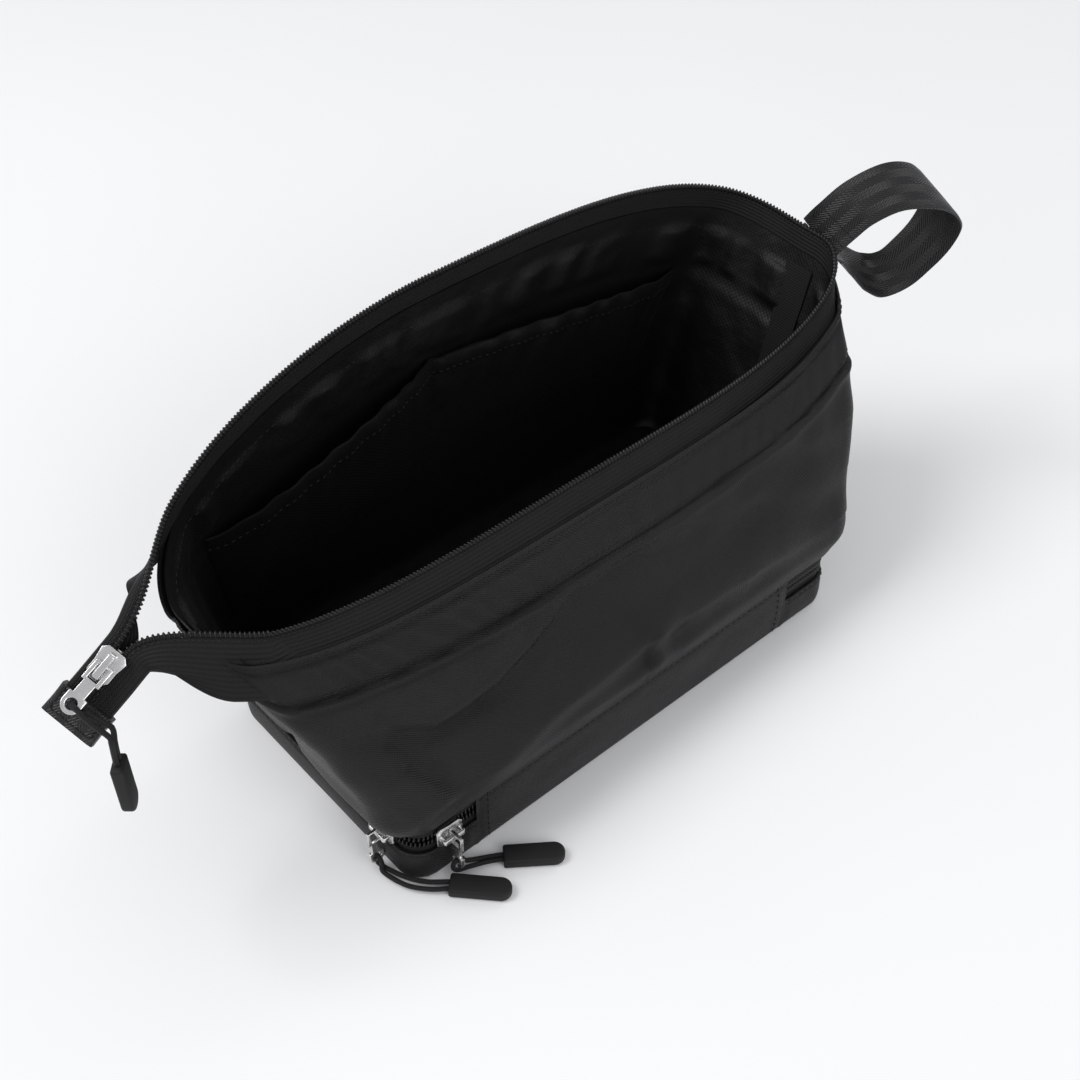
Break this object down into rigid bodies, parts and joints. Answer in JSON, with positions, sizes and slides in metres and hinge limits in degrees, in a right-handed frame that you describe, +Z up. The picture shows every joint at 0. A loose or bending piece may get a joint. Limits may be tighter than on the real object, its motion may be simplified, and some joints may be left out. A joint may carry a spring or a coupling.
{
  "type": "toiletry bag",
  "caption": "Black nylon travel toiletry bag with a wide zipped mouth, inner pocket, hanging loop and a zipped bottom compartment.",
  "frame": {"origin": "on the ground under the middle of the base panel", "axes": "+X from the zip's tail to the hanging loop, +Y from front to back, +Z up"},
  "size_m": [0.3944, 0.1455, 0.1519],
  "materials": {
    "nylon": "matt coated nylon with a fine rib",
    "lining": "smooth lining cloth with a slight sheen",
    "zip_tape": "knitted zip tape",
    "coil": "satin polyester coil",
    "webbing": "twill webbing",
    "cord": "braided cord",
    "rubber": "matt moulded rubber",
    "metal": "polished nickel plate"
  },
  "bodies": {
    "base_tray": {"base_panel": "nylon", "base_lining": "lining", "front_band": "nylon", "side_band": "nylon", "lower_zip_tape_bottom": "zip_tape", "lower_zip_teeth_bottom": "coil", "lower_zip_leg_tape": "zip_tape", "lower_zip_leg_teeth": "coil"},
    "upper_bag": {"lower_zip_tape_top": "zip_tape", "lower_zip_teeth_top": "coil", "front_panel": "nylon", "back_panel": "nylon", "front_lining": "lining", "back_lining": "lining", "compartment_floor": "lining", "mouth_tape_front": "zip_tape", "mouth_tape_back": "zip_tape", "mouth_teeth_front": "coil", "mouth_teeth_back": "coil", "zip_end_tab": "webbing", "left_seam_binding": "webbing", "right_seam_binding": "webbing", "inner_pocket": "lining", "pocket_hem": "webbing"},
    "hanging_loop": {"hanging_loop": "webbing"},
    "main_slider": {"main_slider": "metal", "main_slider_cap": "metal", "main_slider_spring": "metal"},
    "main_puller": {"main_puller": "metal"},
    "main_pull": {"main_pull_cord": "cord", "main_grip": "rubber"},
    "left_slider": {"left_slider": "metal", "left_slider_cap": "metal", "left_slider_spring": "metal"},
    "left_puller": {"left_puller": "metal"},
    "left_pull": {"left_pull_cord": "cord", "left_grip": "rubber"},
    "front_slider": {"front_slider": "metal", "front_slider_cap": "metal", "front_slider_spring": "metal"},
    "front_puller": {"front_puller": "metal"},
    "front_pull": {"front_pull_cord": "cord", "front_grip": "rubber"}
  },
  "joints": [
    {"name": "compartment_opening", "type": "hinge", "parent": "base_tray", "child": "upper_bag", "pos_m": [0, -0.055, 0.027], "axis": [1, 0, 0], "range_deg": [0, 90]},
    {"name": "loop_flex", "type": "hinge", "parent": "upper_bag", "child": "hanging_loop", "pos_m": [0.1531, 0.009, 0.122], "axis": [0, 1, 0], "range_deg": [-25, 25], "stiffness_Nm_per_rad": 0.05, "deforming": ["hanging_loop"]},
    {"name": "main_slider_travel", "type": "slide", "parent": "upper_bag", "child": "main_slider", "axis": [-0.848, 0, -0.5299], "range_m": [0, 0.0055]},
    {"name": "main_puller_flip", "type": "hinge", "parent": "main_slider", "child": "main_puller", "pos_m": [-0.17101, 0.00302, 0.11495], "axis": [-0.3039, 0.8192, 0.4864], "range_deg": [0, 140]},
    {"name": "main_pull_swing", "type": "hinge", "parent": "main_puller", "child": "main_pull", "pos_m": [-0.18416, 0.00132, 0.1096], "axis": [0, 1, 0], "range_deg": [-15, 90], "deforming": ["main_pull_cord"]},
    {"name": "left_slider_travel", "type": "slide", "parent": "base_tray", "child": "left_slider", "axis": [0, 1, 0], "range_m": [0, 0.07]},
    {"name": "left_puller_swing", "type": "hinge", "parent": "left_slider", "child": "left_puller", "pos_m": [-0.11245, -0.0395, 0.0221], "axis": [-1, 0, 0], "range_deg": [0, 30]},
    {"name": "left_pull_turn", "type": "hinge", "parent": "left_puller", "child": "left_pull", "pos_m": [-0.11245, -0.0395, 0.0078], "axis": [0, 0, 1], "range_deg": [-141, 0], "deforming": ["left_pull_cord"]},
    {"name": "front_slider_travel", "type": "slide", "parent": "base_tray", "child": "front_slider", "axis": [1, 0, 0], "range_m": [0, 0.006]},
    {"name": "front_puller_swing", "type": "hinge", "parent": "front_slider", "child": "front_puller", "pos_m": [-0.0925, -0.05945, 0.0221], "axis": [0, -1, 0], "range_deg": [0, 30]},
    {"name": "front_pull_turn", "type": "hinge", "parent": "front_puller", "child": "front_pull", "pos_m": [-0.0925, -0.05945, 0.0078], "axis": [0, 0, 1], "range_deg": [-8, 12], "deforming": ["front_pull_cord"]}
  ],
  "couplings": [
    {"joint": "left_pull_turn", "follows": "left_slider_travel", "rad_per_m": -34.9}
  ]
}
